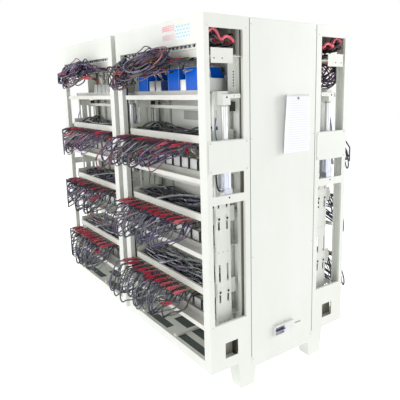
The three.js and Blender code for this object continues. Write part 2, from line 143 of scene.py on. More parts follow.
class Look:
    """A Principled material in the making, with textures on the object's own coordinates, in metres."""

    def __init__(self, name, colour, roughness=0.5, metallic=0.0, **sockets):
        self.material = bpy.data.materials.new(name)
        self.material.use_nodes = True
        tree = self.material.node_tree
        self.nodes, self.links = tree.nodes, tree.links
        self.principled = self.nodes["Principled BSDF"]
        values = {"Base Color": (*colour, 1), "Roughness": roughness, "Metallic": metallic}
        fill(self.principled, values | sockets)

    def join(self, output, socket):
        self.links.new(output, self.principled.inputs[socket])

    def texture(self, kind, stretch=(1, 1, 1), turn=(0, 0, 0), **values):
        place = self.nodes.new("ShaderNodeTexCoord")
        mapping = self.nodes.new("ShaderNodeMapping")
        fill(mapping, {"Scale": stretch, "Rotation": turn})
        self.links.new(place.outputs["Object"], mapping.inputs["Vector"])
        texture = self.nodes.new(kind)
        fill(texture, values)
        self.links.new(mapping.outputs["Vector"], texture.inputs["Vector"])
        return texture

    def noise(self, stretch=(1, 1, 1), **values):
        return self.texture("ShaderNodeTexNoise", stretch, **values).outputs["Fac"]

    def tint(self, source, stops):
        """Colours the surface by a texture, through a ramp of (place, colour) stops."""
        node = self.nodes.new("ShaderNodeValToRGB")
        elements = node.color_ramp.elements
        while len(elements) < len(stops):
            elements.new(0.5)
        for element, (place, colour) in zip(elements, stops):
            element.position = place
            element.color = (*colour, 1)
        self.links.new(source, node.inputs["Fac"])
        self.join(node.outputs["Color"], "Base Color")

    def uneven(self, source, low, high):
        """Lets the roughness run from low to high with a texture."""
        node = self.nodes.new("ShaderNodeMapRange")
        fill(node, {"To Min": low, "To Max": high})
        self.links.new(source, node.inputs["Value"])
        self.join(node.outputs["Result"], "Roughness")

    def bump(self, source, strength, distance):
        node = self.nodes.new("ShaderNodeBump")
        fill(node, {"Strength": strength, "Distance": distance})
        self.links.new(source, node.inputs["Height"])
        self.join(node.outputs["Normal"], "Normal")


def shaded(colour, factor):
    return tuple(c * factor for c in colour)


COAT_ROUGHNESS = 0.42


def powder_coat(name, colour, dirt):
    """Orange-peel powder coat with faint handling marks and dull patches."""
    look = Look(name, colour, COAT_ROUGHNESS, Coat_Weight=0.15, Coat_Roughness=0.25)
    patches = look.noise((1, 1, 0.45), Scale=5.5, Detail=6.0, Roughness=0.62)
    soiled = tuple(c * (1 - dirt * k) for c, k in zip(colour, (1.0, 1.05, 1.3)))
    look.tint(patches, [(0.34, soiled), (0.55, colour), (0.8, shaded(colour, 1.02))])
    dull = look.noise(Scale=24.0, Detail=4.0)
    look.uneven(dull, COAT_ROUGHNESS - 0.1, COAT_ROUGHNESS + 0.14)
    look.bump(look.noise(Scale=520.0, Detail=2.0), 0.12, 0.0004)
    return look.material


def brushed(name, colour, roughness, stretch, contrast=0.16, metallic=1.0):
    """Drawn or brushed metal, with its grain along the axis that stretch leaves low."""
    look = Look(name, colour, roughness, metallic)
    grain = look.noise(stretch, Scale=60.0, Detail=7.0, Roughness=0.7)
    dark, light = shaded(colour, 1 - contrast), shaded(colour, 1 + contrast / 2)
    look.tint(grain, [(0.3, dark), (0.5, colour), (0.72, light)])
    look.uneven(grain, roughness - 0.08, roughness + 0.16)
    look.bump(grain, 0.08, 0.0003)
    return look.material


def moulded(name, colour, roughness=0.38, fleck=0.25, coat=0.2, scale=90.0, bump=0.15, **sockets):
    """Moulded plastic or extruded jacket with a fine uneven skin."""
    look = Look(name, colour, roughness, Coat_Weight=coat, Coat_Roughness=0.2, **sockets)
    skin = look.noise(Scale=scale, Detail=5.0)
    look.tint(skin, [(0.3, shaded(colour, 1 - fleck)), (0.55, colour), (0.8, shaded(colour, 1 + fleck))])
    look.uneven(skin, roughness - 0.08, roughness + 0.12)
    look.bump(skin, bump, 0.0003)
    return look.material


def printed_film(name, ground, ink, scale):
    """A film label printed with rows of plain dashes."""
    look = Look(name, ground, 0.3, Coat_Weight=0.3)
    colours = {"Color1": (*ground, 1), "Color2": (*shaded(ground, 0.93), 1), "Mortar": (*ink, 1)}
    rows = look.texture("ShaderNodeTexBrick", turn=(math.pi / 2, 0, 0), Scale=scale, Mortar_Size=0.05,
                        Mortar_Smooth=0.1, Brick_Width=0.5, Row_Height=0.3, **colours)
    look.join(rows.outputs["Color"], "Base Color")
    return look.material


def ruled_paper(name):
    """White paper with faint grey rules across it."""
    look = Look(name, (0.86, 0.88, 0.92), 0.75)
    lines = look.texture("ShaderNodeTexWave", Scale=26.0, Distortion=0.4, Detail=2.0)
    lines.bands_direction = "Z"
    lines.wave_profile = "SIN"
    look.tint(lines.outputs["Fac"],
              [(0.0, (0.74, 0.78, 0.86)), (0.12, (0.86, 0.88, 0.92)), (1.0, (0.9, 0.91, 0.94))])
    return look.material


PAINT = (0.80, 0.82, 0.77)
DULL_FILM = {"Specular_IOR_Level": 0.12}
M = {
    "frame": powder_coat("rack_powder_coat", PAINT, 0.035),
    "core": powder_coat("core_powder_coat", (0.80, 0.825, 0.775), 0.025),
    "shelf": powder_coat("shelf_powder_coat", (0.78, 0.785, 0.735), 0.10),
    # Painted light: the core's wall panels get a coat lighter than the core's own, to lift the shaded bays.
    "wall": powder_coat("core_wall_coat", (0.87, 0.89, 0.83), 0.05),
    "vent": powder_coat("vent_grille_coat", (0.44, 0.49, 0.435), 0.12),
    # Dark grey for the magnet and the dark lines on the small cells' fronts, and painted shade for the end
    # panel's slot.
    "grey_and_slot_shade": powder_coat("duct_grey", (0.30, 0.325, 0.30), 0.15),
    "module": brushed("module_zinc", (0.50, 0.52, 0.50), 0.35, (0.2, 2, 2)),
    "alloy": brushed("anodised_alloy", (0.80, 0.84, 0.93), 0.32, (3, 3, 0.15), 0.08, 0.8),
    "alloy_cap": brushed("cast_end_cap", (0.62, 0.64, 0.72), 0.42, (1, 1, 1), 0.1),
    # Painted shade: a near-black finish for dark openings.
    "shade": moulded("cable_slot_shade", (0.045, 0.045, 0.03), 0.8, 0.3, 0.0, 14.0),
    # Painted shade: a dark brownish coat for recesses and gaps in shadow.
    "recess_shade": powder_coat("recess_coat", (0.27, 0.265, 0.215), 0.2),
    "mat": moulded("filter_mat", (0.10, 0.125, 0.115), 0.9, 0.4, 0.0, 180.0, 0.5),
    "chrome": brushed("hard_chrome", (0.90, 0.90, 0.93), 0.30, (3, 3, 0.1), 0.04, 0.85),
    "can": brushed("cell_can", (0.60, 0.61, 0.60), 0.33, (4, 4, 0.25)),
    "can_top": brushed("cell_lid", (0.66, 0.67, 0.66), 0.28, (0.5, 2, 2)),
    "blue": moulded("blue_film", (0.0, 0.15, 0.84), 0.36, 0.06, 0.04, 12.0, 0.05, **DULL_FILM),
    # Folded film edges of the large cells: the folds are real, and their lighter blue is a painted
    # highlight.
    "blue_edge_highlight": moulded("blue_film_edge", (0.20, 0.42, 0.90), 0.25, 0.25, 0.4, 60.0, **DULL_FILM),
    "clear": moulded("white_cap", (0.75, 0.78, 0.80), 0.3, 0.06),
    "black": moulded("black_jacket", (0.016, 0.016, 0.022), 0.34, 0.3, 0.25, 40.0),
    "slate": moulded("slate_jacket", (0.048, 0.054, 0.088), 0.24, 0.3, 0.7, 40.0),
    "navy": moulded("navy_jacket", (0.036, 0.030, 0.105), 0.28, 0.35, 0.5, 40.0),
    "purple": moulded("purple_jacket", (0.080, 0.032, 0.150), 0.30, 0.35, 0.35, 40.0),
    "brown": moulded("maroon_jacket", (0.18, 0.040, 0.065), 0.34, 0.3, 0.3, 40.0),
    "green": moulded("green_jacket", (0.02, 0.085, 0.065), 0.34, 0.3, 0.3, 40.0),
    "rose": moulded("rose_jacket", (0.26, 0.09, 0.13), 0.34, 0.3, 0.3, 40.0),
    "pale": moulded("pale_jacket", (0.52, 0.55, 0.58), 0.34, 0.1, 0.3, 40.0),
    "red": moulded("red_handle", (0.68, 0.020, 0.065), 0.33, 0.18, 0.35, 70.0),
    "pink": moulded("pink_handle", (0.82, 0.13, 0.17), 0.35, 0.2, 0.35, 70.0),
    "maroon": moulded("maroon_handle", (0.26, 0.03, 0.06), 0.35, 0.2, 0.35, 70.0),
    "black_handle": moulded("black_handle", (0.022, 0.020, 0.026), 0.36, 0.3, 0.3, 70.0),
    "brass": brushed("brass_jaw", (0.80, 0.56, 0.22), 0.28, (2, 2, 2)),
    "nickel": brushed("nickel_jaw", (0.66, 0.66, 0.64), 0.28, (2, 2, 2)),
    "steel": brushed("zinc_screw", (0.52, 0.52, 0.50), 0.35, (2, 2, 2)),
    # Painted shade: near-black strips that darken the slot between the cabinets.
    "gap_shade": moulded("gap_seal", (0.03, 0.03, 0.028), 0.7, 0.2, 0.0),
    "seal": moulded("sealing_strip", (0.20, 0.21, 0.21), 0.6, 0.15, 0.0),
    # Painted shade: black discs for hole marks, standing for the shade inside the holes. The same dark
    # finish is on the bases under some cell terminals.
    "hole": moulded("dark_recess", (0.02, 0.02, 0.022), 0.7, 0.2, 0.0),
    "housing": moulded("breaker_housing", (0.80, 0.81, 0.80), 0.36, 0.04, 0.2, 60.0),
    "lever": moulded("breaker_lever", (0.010, 0.028, 0.13), 0.32, 0.2, 0.3),
    "tube": moulded("air_tube", (0.05, 0.13, 0.34), 0.25, 0.2, 0.4),
    "pink_label": printed_film("pink_label", (0.78, 0.33, 0.36), (0.86, 0.62, 0.62), 30.0),
    "mauve_label": printed_film("mauve_label", (0.66, 0.44, 0.48), (0.82, 0.68, 0.70), 34.0),
    "sky_label": printed_film("sky_label", (0.36, 0.58, 0.70), (0.78, 0.90, 0.93), 20.0),
    "paper": ruled_paper("ruled_paper"),
}

CAD_FINISH = {
    "rack_frame": "frame", "lift_frame": "frame", "cell_shelf": "shelf", "cable_ladder": "shelf",
    "lift_cylinders": "alloy", "lift_rods": "chrome", "core_shell": "core", "core_end_panel": "core",
    "power_modules": "module", "base_frame": "core", "breaker_body": "housing", "breaker_toggle": "lever",
}


def finish_cad_nodes():
    for name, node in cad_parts.items():
        for part, finish in CAD_FINISH.items():
            if part in name:
                node.data.materials.clear()
                node.data.materials.append(M[finish])


# ---------- mesh work ----------


def smooth_path(points, step):
    """A Catmull-Rom line through the points, cut into even steps."""
    p = np.array(points, float)
    ends = np.vstack([2 * p[0] - p[1], p, 2 * p[-1] - p[-2]])
    line = []
    for i in range(len(p) - 1):
        a, b, c, d = ends[i:i + 4]
        t = np.linspace(0, 1, 12, endpoint=False)[:, None]
        line.append(0.5 * (2 * b + (c - a) * t + (2 * a - 5 * b + 4 * c - d) * t**2
                           + (3 * b - a - 3 * c + d) * t**3))
    line = np.vstack([*line, p[-1:]])
    run = np.concatenate([[0], np.cumsum(np.linalg.norm(np.diff(line, axis=0), axis=1))])
    at = np.linspace(0, run[-1], max(4, int(run[-1] / step) + 1))
    return np.stack([np.interp(at, run, line[:, k]) for k in range(3)], axis=1)


def along(line):
    tangent = np.gradient(line, axis=0)
    return tangent / np.maximum(np.linalg.norm(tangent, axis=1, keepdims=True), 1e-9)


def new_object(name, points, faces, materials):
    """A smooth-shaded mesh in the scene."""
    mesh = bpy.data.meshes.new(name)
    mesh.from_pydata(points, [], faces)
    mesh.polygons.foreach_set("use_smooth", [True] * len(faces))
    for material in materials:
        mesh.materials.append(material)
    thing = bpy.data.objects.new(name, mesh)
    link(thing)
    return thing


class Piece:
    """Gathers shapes in rack millimetres, each with its finish, and makes one mesh of them."""

    def __init__(self):
        self.points, self.faces, self.marks, self.finishes, self.count = [], [], [], [], 0

    def add(self, points, faces, finish):
        if finish not in self.finishes:
            self.finishes.append(finish)
        mark = self.finishes.index(finish)
        base = self.count
        self.points.append(np.asarray(points, float))
        self.faces.extend([tuple(i + base for i in face) for face in faces])
        self.marks.extend([mark] * len(faces))
        self.count += len(points)

    def box(self, u, d, z, finish):
        corners = [(a, b, c) for a in u for b in d for c in z]
        faces = [(0, 1, 3, 2), (4, 6, 7, 5), (0, 4, 5, 1), (2, 3, 7, 6), (0, 2, 6, 4), (1, 5, 7, 3)]
        self.add(corners, faces, finish)

    def slab(self, side, u, d, z, finish):
        """A box at the right end of the rack, or mirrored at its left end where side is -1."""
        self.box(sorted((side * u[0], side * u[1])), d, z, finish)

    def rings(self, rings, finish):
        """A skin over rings of equal size, closed at both ends."""
        n, sides = len(rings), len(rings[0])
        faces = []
        for i in range(n - 1):
            for j in range(sides):
                k = (j + 1) % sides
                faces.append((i * sides + j, i * sides + k, (i + 1) * sides + k, (i + 1) * sides + j))
        faces.append(tuple(reversed(range(sides))))
        faces.append(tuple((n - 1) * sides + j for j in range(sides)))
        self.add(np.vstack(rings), faces, finish)

    def tube(self, line, radius, finish, sides=8):
        line = np.asarray(line, float)
        tangent = along(line)
        side = np.cross(tangent[0], (0.31, 0.17, 0.94))
        side /= np.linalg.norm(side)
        angles = np.linspace(0, 2 * math.pi, sides, endpoint=False)
        radii = np.broadcast_to(radius, len(line))
        rings = []
        for point, forward, r in zip(line, tangent, radii):
            side = side - forward * side.dot(forward)
            side /= np.linalg.norm(side)
            other = np.cross(forward, side)
            rings.append(point + r * (np.cos(angles)[:, None] * side + np.sin(angles)[:, None] * other))
        self.rings(rings, finish)

    def rod(self, start, end, radius, finish, sides=14):
        self.tube([start, np.add(start, end) / 2, end], radius, finish, sides)

    def make(self, name, matrix, body, slot, bevel=0.0):
        m = np.array(matrix)
        points = np.vstack(self.points) @ m[:3, :3].T + m[:3, 3]
        piece = new_object(name, points.tolist(), self.faces, [M[finish] for finish in self.finishes])
        piece.data.polygons.foreach_set("material_index", self.marks)
        piece.data.set_sharp_from_angle(angle=math.radians(38))
        piece.data.update()
        if bevel:
            edge = piece.modifiers.new("edge", "BEVEL")
            edge.width = bevel * MM
            edge.segments = 2
            edge.limit_method = "ANGLE"
            edge.angle_limit = math.radians(50)
            edge.harden_normals = True
        if body:
            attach(piece, body)
        return piece


def frame_of(direction, up=(0, 0, 1)):
    """Axes with x along direction and z as near up as can be, as rows."""
    x = np.array(direction, float)
    x /= np.linalg.norm(x)
    y = np.cross(up, x)
    y /= np.linalg.norm(y)
    return np.array([x, y, np.cross(x, y)])


# ---------- clips ----------

CLIP_LENGTH = 92.0
SLIM = 0.60
CLIP_SIZE = 1.14
JAW = [(0, 0.8, 2.0), (3, 2.6, 2.6), (14, 4.4, 3.6), (26, 4.8, 4.6), (40, 4.2, 5.0)]
TEETH = [(3, 2.4), (6.5, 3.0), (10, 3.8), (13.5, 4.3)]
SLEEVE = [(24, 4.6, 5.8, 2.8), (30, 5.6, 7.2, 3.6), (46, 7.0, 7.6, 4.2),
          (62, 8.8, 7.4, 4.4), (78, 9.6, 6.6, 3.8), (86, 9.0, 5.0, 2.6)]


def oval(x, y, z, wide, tall, sides=10):
    angles = np.linspace(0, 2 * math.pi, sides, endpoint=False)
    power = 0.75
    c, s = np.cos(angles), np.sin(angles)
    return np.stack([np.full(sides, x), y + wide * np.sign(c) * np.abs(c)**power,
                     z + tall * np.sign(s) * np.abs(s)**power], axis=1)


def add_clip(piece, tip, direction, handle, jaw, size=1.0, gape=1.0, up=(0, 0, 1), slim=1.0):
    """A spring clip: toothed jaws from its tip, two sleeved handles, a pivot and a lead grommet.

    Returns the point where its lead goes in, and the clip's direction.
    """
    axes = frame_of(direction, up)
    scale = np.array([size, size * slim, size * slim])

    def put(rings):
        return [np.asarray(r) * scale @ axes + np.asarray(tip) for r in rings]

    for way in (1, -1):
        jaw_rings = [oval(x, 0, way * (gape * h), w, 1.3, 6) for x, h, w in JAW]
        piece.rings(put(jaw_rings), jaw)
        teeth = [(x, way * (gape * h - 1.4)) for x, h in TEETH]
        for x, z in teeth:
            tooth = [oval(x - 1.2, 0, z, 2.2, 0.9, 4), oval(x + 1.2, 0, z, 2.2, 0.9, 4)]
            piece.rings(put(tooth), jaw)
        sleeve = [oval(x, 0, way * h, w, t, 10) for x, h, w, t in SLEEVE]
        piece.rings(put(sleeve), handle)
    pivot = [oval(34, 0, 0, 7.4, 2.2, 8), oval(38, 0, 0, 7.4, 2.2, 8)]
    piece.rings(put(pivot), jaw)
    grommet = [oval(x, 0, 0, r, r, 10) for x, r in ((50, 3.0), (60, 4.2), (80, 4.6), (88, 4.0), (92, 3.2))]
    piece.rings(put(grommet), handle)
    return np.array([CLIP_LENGTH * size, 0, 0]) @ axes + np.asarray(tip), axes[0]


# ---------- hanging leads ----------

OUTER_LEFT = -300
INNER_LEFT = -372
TRAY_HALF = 376
LEAD = 8.4
SENSE_LEAD = 5.4
# How far before the open face the leads hang.
REACH = 106.0
DECLARED_REACH = 126.0


class LeadStyle:
    """How a level's leads hang and shorten to the right, where their clips aim, and their colours."""

    def __init__(self, drop, skew, shorter, slack, aim, colours, handles):
        self.drop, self.skew, self.shorter, self.slack = drop, skew, shorter, slack
        self.aim, self.colours, self.handles = aim, colours, handles


STYLES = [
    LeadStyle(225, 80, 0.80, 1.0, (-0.42, -0.89, -0.12),
              ["black", "slate", "slate", "black", "navy", "slate"], ["red", "red", "pink"]),
    LeadStyle(195, 100, 0.80, 0.8, (-0.44, -0.88, -0.13),
              ["slate", "black", "slate", "slate", "navy", "black", "purple"], ["red", "red", "pink"]),
    LeadStyle(188, 105, 0.62, 0.25, (-0.62, -0.76, -0.12),
              ["purple", "brown", "black", "navy", "slate", "black"],
              ["maroon", "red", "maroon", "black_handle"]),
    LeadStyle(120, 90, 0.6, 0.3, (-0.78, -0.60, -0.08),
              ["slate", "purple", "black", "navy", "brown", "black"], ["pink", "red", "maroon"]),
]


def close_to_end(line):
    """Draws leads in towards the rack where they near the open end of the row."""
    room = 34 + np.maximum(line[:, 0] + HALF - 4, 0) / 3.05
    line[:, 1] = np.maximum(line[:, 1], -room)
    line[:, 0] = np.maximum(line[:, 0], -HALF - 3)


def clear_of_tabs(u):
    for tab in TRAY_TABS:
        if abs(u - tab) < 11:
            return tab + math.copysign(12, u - tab)
    return u


def from_tray(rng, slot, rail):
    """Out of the tray, down its slot and forward below the rail."""
    under = rail - RAIL_HEIGHT
    wander = rng.uniform(-30, 30)
    return [(slot + wander, 150 + rng.uniform(-20, 20), under + 8), (slot + wander * 0.4, 90, under + 7),
            (slot, SLOT_DEPTH + 4, under + 1), (slot, SLOT_DEPTH - 6, under - 8), (slot - 3, 20, under - 14)]


def hanging_loop(rng, slot, rail, style, end, outward, reach, share):
    """A lead from the tray that hangs before the open face and turns back up into a clip."""
    under = rail - RAIL_HEIGHT
    drop = style.drop * rng.choice((0.55, 0.8, 0.9, 1.0, 1.15)) * (1 + (style.shorter - 1) * share)
    skew = style.skew * rng.uniform(0.7, 1.7)
    reach = reach * rng.uniform(0.84, 1.0)
    end, outward = np.array(end), np.array(outward)
    left = end[0] - skew
    slack = rng.uniform(0.0, style.slack)
    falls = [(slot - 0.08 * skew, -0.06 * reach, 0.16 + 0.2 * slack),
             (slot - 0.3 * skew, -0.26 * reach, 0.45 + 0.25 * slack),
             (left + 0.42 * skew, -0.54 * reach, 0.76 + 0.18 * slack),
             (left + 0.18 * skew, -0.78 * reach, 0.95),
             (left + 0.03 * skew, -0.93 * reach, 1.0),
             (left - 0.02 * skew, -reach, 0.86),
             (left + 0.12 * skew, -reach, 0.62)]
    points = from_tray(rng, slot, rail)
    for u, d, fall in falls:
        points.append((u + rng.uniform(-2, 2), d, under - drop * fall + rng.uniform(-2, 2)))
    lead_in = end + outward * 34
    points.append((lead_in[0], max(lead_in[1], -reach), lead_in[2] - 6))
    points.append(tuple(end + outward * 12))
    points.append(tuple(end))
    return points


def hank_loop(rng, slot, rail, end, outward, middle, half, turns, reach):
    """A lead of the top level, which sweeps left, winds round on itself and comes back to its clip."""
    under = rail - RAIL_HEIGHT
    points = from_tray(rng, slot, rail)
    points.append((slot - 30, -14, under - 12))
    depth = rng.uniform(-0.74, -0.36) * reach
    steps = int(10 * turns)
    first, last = 62.0, 292.0 + 360.0 * (turns - 1)
    tilt = rng.uniform(0.02, 0.26)
    for i in range(steps + 1):
        share = i / steps
        angle = math.radians(first + (last - first) * share)
        grow = 1 + 0.12 * math.sin(4 * share + slot)
        u = middle[0] + half[0] * grow * math.cos(angle)
        z = middle[1] + half[1] * grow * math.sin(angle) + tilt * (u - middle[0])
        d = depth - 0.22 * reach * math.sin(angle * 0.5 + slot)
        points.append((u, max(-reach, min(-12, d)), z))
    end, outward = np.array(end), np.array(outward)
    points.append(tuple(end + outward * 30 - (0, 0, 4)))
    points.append(tuple(end))
    return points


def hank_shape(rng, u):
    """The middle, half size and turns of a top lead's winding: low at the left, long in the middle."""
    turns = rng.choice([1, 1, 1, 1, 2])
    if u > 60 and rng.random() < 0.3:
        middle = (rng.uniform(20, 100), rng.uniform(1496, 1516))
        return middle, (rng.uniform(130, 195), rng.uniform(50, 68)), 1
    if u > -130:
        middle = (rng.uniform(-20, 130), rng.uniform(1500, 1542))
        return middle, (rng.uniform(130, 225), rng.uniform(16, 46)), turns
    middle = (rng.uniform(-330, -180), rng.uniform(1458, 1510))
    return middle, (rng.uniform(60, 125), rng.uniform(30, 78)), turns


MAX_DECLARED = 40
CHANNELS = 10
FIRST_IN_CHANNEL = -30
CLIP_PITCH = 19
declared = []


def is_declared(rack, number):
    """Whether this gripping lead, counted along its level, is made as a cord of its own."""
    wanted = (1, 6, 11, 16) if rack.near else (3, 12)
    return number in wanted and len(declared) < MAX_DECLARED


def hanging_leads(rack, level):
    """A level's spare leads: clips that bite the rail, thinner sense leads, and a few loose clips."""
    rng = random.Random(1000 * RACKS.index(rack) + level)
    rail, style = RAIL_TOPS[level], STYLES[level]
    left = INNER_LEFT if rack.inner_left else OUTER_LEFT
    right = 330 if level else 300
    handles = style.handles if rack.near or level != 1 else ["maroon", "black_handle", "red"]
    bundle, clips = Piece(), Piece()
    number = 0
    for channel in range(CHANNELS):
        share = (channel + 0.5) / CHANNELS
        middle = left + (right - left) * share
        kinds = ["black", "red", "sense"] + (["loose"] if channel % 3 == 1 else [])
        for place, kind in enumerate(kinds):
            u = max(middle + FIRST_IN_CHANNEL + CLIP_PITCH * place + rng.uniform(-3, 3), -TRAY_HALF)
            slot = clear_of_tabs(min(u + rng.uniform(4, 30), TRAY_HALF - 4))
            aim = np.array(style.aim) + (rng.uniform(-0.06, 0.06), 0, rng.uniform(-0.05, 0.05))
            aim /= np.linalg.norm(aim)
            tip = (u, RAIL_FRONT + 1.2, rail - RAIL_HEIGHT - 1)
            gripping = kind in ("red", "black")
            sole = gripping and is_declared(rack, number)
            number += gripping
            own = Piece() if sole else clips
            reach = DECLARED_REACH if sole else REACH
            colour = rng.choice(style.colours)
            thick = LEAD if gripping else SENSE_LEAD
            if kind == "red":
                end, _ = add_clip(own, tip, aim, rng.choice(handles), "nickel", CLIP_SIZE, slim=SLIM)
            elif kind == "black":
                jaw = "brass" if channel % 3 == 0 else "nickel"
                end, _ = add_clip(own, tip, aim, "black_handle", jaw, CLIP_SIZE, slim=SLIM)
            elif kind == "sense":
                sleeve = rng.choice(["black_handle", "maroon", "green"])
                end, _ = add_clip(own, tip, aim, sleeve, "brass", 0.5)
            else:
                end, aim = loose_clip(rng, own, u, rail, style)
            if level == LEVELS - 1:
                centre, half, turns = hank_shape(rng, u)
                if not rack.inner_left:
                    centre = (max(centre[0], OUTER_LEFT + 0.8 * half[0]), centre[1])
                route = hank_loop(rng, slot, rail, end, aim, centre, half, turns, reach)
            else:
                route = hanging_loop(rng, slot, rail, style, end, aim, reach, share)
            line = smooth_path(route, 9.0)
            if not rack.inner_left:
                close_to_end(line)
            if sole:
                declare_lead(rack, level, number, kind, own, line, thick, colour)
            else:
                bundle.tube(line, thick / 2, colour, 8)
    bundle.make(f"{rack.label}_leads_{level + 1}", rack.matrix, "root", "lead_jacket")
    clips.make(f"{rack.label}_clips_{level + 1}", rack.matrix, "root", "clip_red")


def loose_clip(rng, piece, u, rail, style):
    """A clip that bites nothing and hangs out at the end of its lead, with its brass jaws forward."""
    under = rail - RAIL_HEIGHT
    drop = style.drop * rng.uniform(0.1, 0.42)
    tip = np.array((u - 30, -REACH + 4, under - drop))
    back = np.array((rng.uniform(0.1, 0.6), 0.66, rng.uniform(-0.2, 0.5)))
    back /= np.linalg.norm(back)
    end, _ = add_clip(piece, tip, back, rng.choice(["black_handle", "red", "pink"]), "brass", 0.8, 1.6)
    return end, back


def declare_lead(rack, level, number, kind, clip, line, thick, colour):
    label = f"{rack.label}_lead_{level + 1}_{number}"
    lead = Piece()
    lead.tube(line, thick / 2, colour)
    cord = lead.make(label, rack.matrix, "root", "lead_jacket")
    slot = "clip_red" if kind == "red" else "clip_black"
    on_end = clip.make(label + "_clip", rack.matrix, "root", slot)
    path = [tuple(rack.at(p)) for p in line]
    # The first lead of a rack made as its own cord stands in for the rack's one CAD solid, which is hidden.
    if all(not other.name.startswith(rack.label) for other in declared):
        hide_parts(f"{rack.label}_test_leads")
    declared.append(cord)


# ---------- bundles in the trays ----------


def heap(u, middle, wide):
    return math.exp(-((u - middle) / wide) ** 2)


def crest(level, u):
    """How far the cables of a level stand above the tray's rail."""
    if level == 0:
        return 26 + 9 * math.sin(u / 70) + 16 * heap(u, 250, 120)
    if level == 1:
        return 6 + 34 * heap(u, -260, 120) + 30 * heap(u, 270, 120)
    if level == 2:
        return 2 + 16 * heap(u, -180, 140) + 34 * heap(u, 300, 110)
    return 6


CABLES_IN_TRAY = 30
LANES = (66, 228)
PALE_CABLES = (17, 26)
CABLE_COLOURS = ["black", "black", "slate", "navy", "purple", "black",
                 "brown", "green", "slate", "rose", "black"]


def tray_bundle(rack, level):
    """Cables that lie along the tray, in heaps that stand above its rail."""
    rng = random.Random(77 + 10 * RACKS.index(rack) + level)
    floor = RAIL_TOPS[level] - TRAY_FLOOR
    piece = Piece()
    for number in range(CABLES_IN_TRAY):
        share = number / CABLES_IN_TRAY
        thick = rng.choice([5.0, 6.0, 7.0, 8.0]) if share < 0.85 else rng.choice([9.0, 11.0])
        start = -366 if rng.random() < 0.6 else rng.uniform(-360, -120)
        stop = 366 if rng.random() < 0.7 else rng.uniform(100, 340)
        lane, phase = rng.uniform(70, 222), rng.uniform(0, 6)
        points = []
        for i in range(15):
            u = start + (stop - start) * i / 14
            d = lane + 20 * math.sin(u / 95 + phase) + rng.uniform(-6, 6)
            top = TRAY_FLOOR - 4 + crest(level, u) * (0.75 + 0.25 * math.sin(u / 60 + phase))
            if level == LEVELS - 1:
                top = min(top, TRAY_FLOOR + 8)
            points.append((u, min(max(d, LANES[0]), LANES[1]), floor + thick / 2 + share * top))
        colour = "pale" if number in PALE_CABLES else rng.choice(CABLE_COLOURS)
        piece.tube(smooth_path(points, 12), thick / 2, colour, 8)
    if level in (1, 2):
        hoses(rng, piece, floor, level)
    if level < 2:
        for k in range(2):
            route = [(-200, 60 + 9 * k, floor + 8), (-92, 44 + 10 * k, floor + 36),
                     (-60, 90 + 10 * k, floor + 44), (-20, 150 + 10 * k, floor + 48),
                     (60, 205 + 8 * k, floor + 42), (170, 224, floor + 10)]
            piece.tube(smooth_path(route, 10), 5.4, "pale", 10)
    piece.make(f"{rack.label}_tray_cables_{level + 1}", rack.matrix, "root", "lead_jacket")


def hoses(rng, piece, floor, level):
    """Thick hoses that arch out of the left end of a heap and sink into it."""
    for k in range(4):
        start = -350 + 26 * k
        wide = rng.uniform(260, 380)
        tall = rng.uniform(22, 40) + (14 if level == 2 else 0)
        points = []
        for i in range(12):
            share = i / 11
            rise = tall * math.sin(math.pi * min(1, share * 1.5)) * (1 - 0.4 * share)
            d = 90 + 24 * k + 18 * math.sin(4 * share + k)
            points.append((start + wide * share, d, floor + 34 + rise))
        piece.tube(smooth_path(points, 10), 5.0 + 0.6 * k, "black", 10)


HOSES_AT_END = [
    ("black", 5.0, [(55, 1590), (62, 1642), (84, 1654), (108, 1634), (126, 1590)]),
    ("pink", 6.5, [(36, 1630), (58, 1650), (80, 1646), (96, 1626), (104, 1596)]),
    ("pink", 7.5, [(108, 1604), (134, 1620), (160, 1616), (178, 1600)]),
    ("black", 5.0, [(58, 1622), (84, 1606), (112, 1586)]),
    ("black", 4.0, [(176, 1584), (181, 1608), (180, 1632)]),
    ("maroon", 5.0, [(38, 1596), (70, 1608), (102, 1598)]),
    ("black", 5.5, [(40, 1606), (56, 1592), (80, 1584)]),
]


def end_hoses(rack):
    """Hoses that bow out over the top tray's ends, seen through the top windows."""
    piece = Piece()
    for side in (-1, 1):
        for number, (finish, radius, bow) in enumerate(HOSES_AT_END):
            u = 424 + 4 * (number % 4)
            middle = [(side * u, d, z) for d, z in bow]
            start = (side * (u - 90), bow[0][0] - 6, bow[0][1] - 4)
            stop = (side * (u - 80), bow[-1][0] + 8, bow[-1][1] - 2)
            piece.tube(smooth_path([start, *middle, stop], 8), radius, finish, 12)
    piece.make(f"{rack.label}_end_cables", rack.matrix, "root", "lead_jacket")


# ---------- cells ----------


SMALL_TERMINALS = (30, 117)
LARGE_TERMINALS = (32, 118)
SMALL_FRONT = 80
LARGE_FRONT = 76
SEAT_BELOW_TOP = 2.7


def small_cell(piece, u, d, z):
    wide, deep, tall = 59.0, 147.0, 60.0
    left, right = u - wide / 2, u + wide / 2
    piece.box((left, right), (d, d + deep), (z, z + tall - 1.6), "can")
    piece.box((left + 1.6, right - 1.6), (d + 1.6, d + deep - 1.6), (z + tall - 2, z + tall), "can_top")
    piece.box((left + 11, left + 12.2), (d - 0.5, d + 1), (z + 2, z + tall - 4), "grey_and_slot_shade")
    for at, finish in zip(SMALL_TERMINALS, ("clear", "hole")):
        piece.box((u - 11, u + 11), (d + at - 11, d + at + 11), (z + tall - 0.5, z + tall + 1.6), finish)
        piece.rod((u, d + at, z + tall + 1), (u, d + at, z + tall + 5), 6.5, "nickel")
    piece.rod((u, d + deep / 2, z + tall - 1), (u, d + deep / 2, z + tall + 0.7), 7, "nickel")


